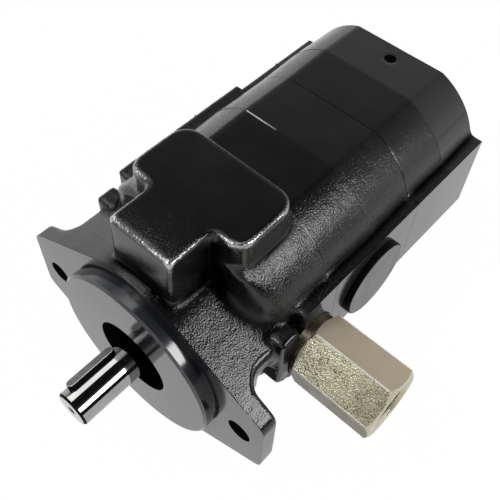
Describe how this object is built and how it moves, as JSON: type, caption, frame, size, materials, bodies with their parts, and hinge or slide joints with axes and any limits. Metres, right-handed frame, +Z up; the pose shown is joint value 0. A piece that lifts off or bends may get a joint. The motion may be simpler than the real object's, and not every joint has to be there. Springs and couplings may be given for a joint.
{
  "type": "two-stage hydraulic gear pump",
  "caption": "Cast iron hi-lo hydraulic gear pump with a two-bolt pilot flange, keyed shaft, tee-shaped valve boss, capped suction port and hexagon outlet adapter.",
  "frame": {"origin": "centre of the mounting flange's face, on the drive shaft's axis", "axes": "-Y out along the drive shaft, +Y to the rear end, +Z up to the idler shaft and the valve boss, +X to the outlet and suction ports"},
  "size_m": [0.1569, 0.2001, 0.1155],
  "materials": {
    "cast_black": "black oxide over sand-cast skin, satin where machined",
    "ground_steel": "ground bright",
    "key_steel": "drawn, dull",
    "gear_steel": "case-hardened and ground",
    "spring_steel": "oiled wire",
    "bolt_steel": "black oxide",
    "bush_bronze": "bronze-lined, bored",
    "plate_bronze": "lapped flat",
    "seal_rubber": "smooth nitrile",
    "cap_plastic": "satin grey",
    "zinc_plate": "pale yellow zinc plating"
  },
  "bodies": {
    "housing": {"front_housing": "cast_black", "middle_housing": "cast_black", "rear_housing": "cast_black", "front_drive_bush": "bush_bronze", "front_idler_bush": "bush_bronze", "middle_drive_bush": "bush_bronze", "middle_idler_bush": "bush_bronze", "rear_drive_bush": "bush_bronze", "rear_idler_bush": "bush_bronze", "low_stage_front_wear_plate": "plate_bronze", "low_stage_rear_wear_plate": "plate_bronze", "high_stage_front_wear_plate": "plate_bronze", "high_stage_rear_wear_plate": "plate_bronze", "shaft_seal": "seal_rubber", "seal_snap_ring": "spring_steel", "front_casting_seal": "seal_rubber", "rear_casting_seal": "seal_rubber", "body_bolts": "bolt_steel", "dowel_pins": "key_steel", "unloading_spring": "spring_steel", "unloading_valve_plug": "bolt_steel", "check_valve_seat": "ground_steel", "check_valve_spring": "spring_steel", "check_valve_plug": "bolt_steel", "suction_port_cap": "cap_plastic", "outlet_adapter": "zinc_plate"},
    "drive_set": {"drive_shaft": "ground_steel", "drive_shaft_key": "key_steel", "low_stage_drive_gear": "gear_steel", "low_stage_drive_gear_key": "key_steel", "high_stage_drive_gear": "gear_steel", "high_stage_drive_gear_key": "key_steel", "drive_shaft_rings": "spring_steel"},
    "idler_set": {"idler_shaft": "ground_steel", "low_stage_idler_gear": "gear_steel", "low_stage_idler_gear_key": "key_steel", "high_stage_idler_gear": "gear_steel", "high_stage_idler_gear_key": "key_steel", "idler_shaft_rings": "spring_steel"},
    "spool": {"unloading_spool": "ground_steel"},
    "poppet": {"check_valve_poppet": "ground_steel"}
  },
  "joints": [
    {"name": "drive_shaft_spin", "type": "hinge", "parent": "housing", "child": "drive_set", "pos_m": [0, 0, 0], "axis": [0, -1, 0], "continuous": true},
    {"name": "idler_shaft_spin", "type": "hinge", "parent": "housing", "child": "idler_set", "pos_m": [0, 0, 0.03], "axis": [0, -1, 0], "continuous": true},
    {"name": "unloading_spool_slide", "type": "slide", "parent": "housing", "child": "spool", "axis": [0, 0, 1], "range_m": [0, 0.005], "stiffness_N_per_m": 4000, "springref_m": -0.003, "deforming": ["unloading_spring"]},
    {"name": "check_poppet_slide", "type": "slide", "parent": "housing", "child": "poppet", "axis": [0, 0, -1], "range_m": [0, 0.004], "stiffness_N_per_m": 600, "springref_m": -0.004, "deforming": ["check_valve_spring"]}
  ],
  "couplings": [
    {"joint": "idler_shaft_spin", "follows": "drive_shaft_spin", "ratio": -1}
  ]
}
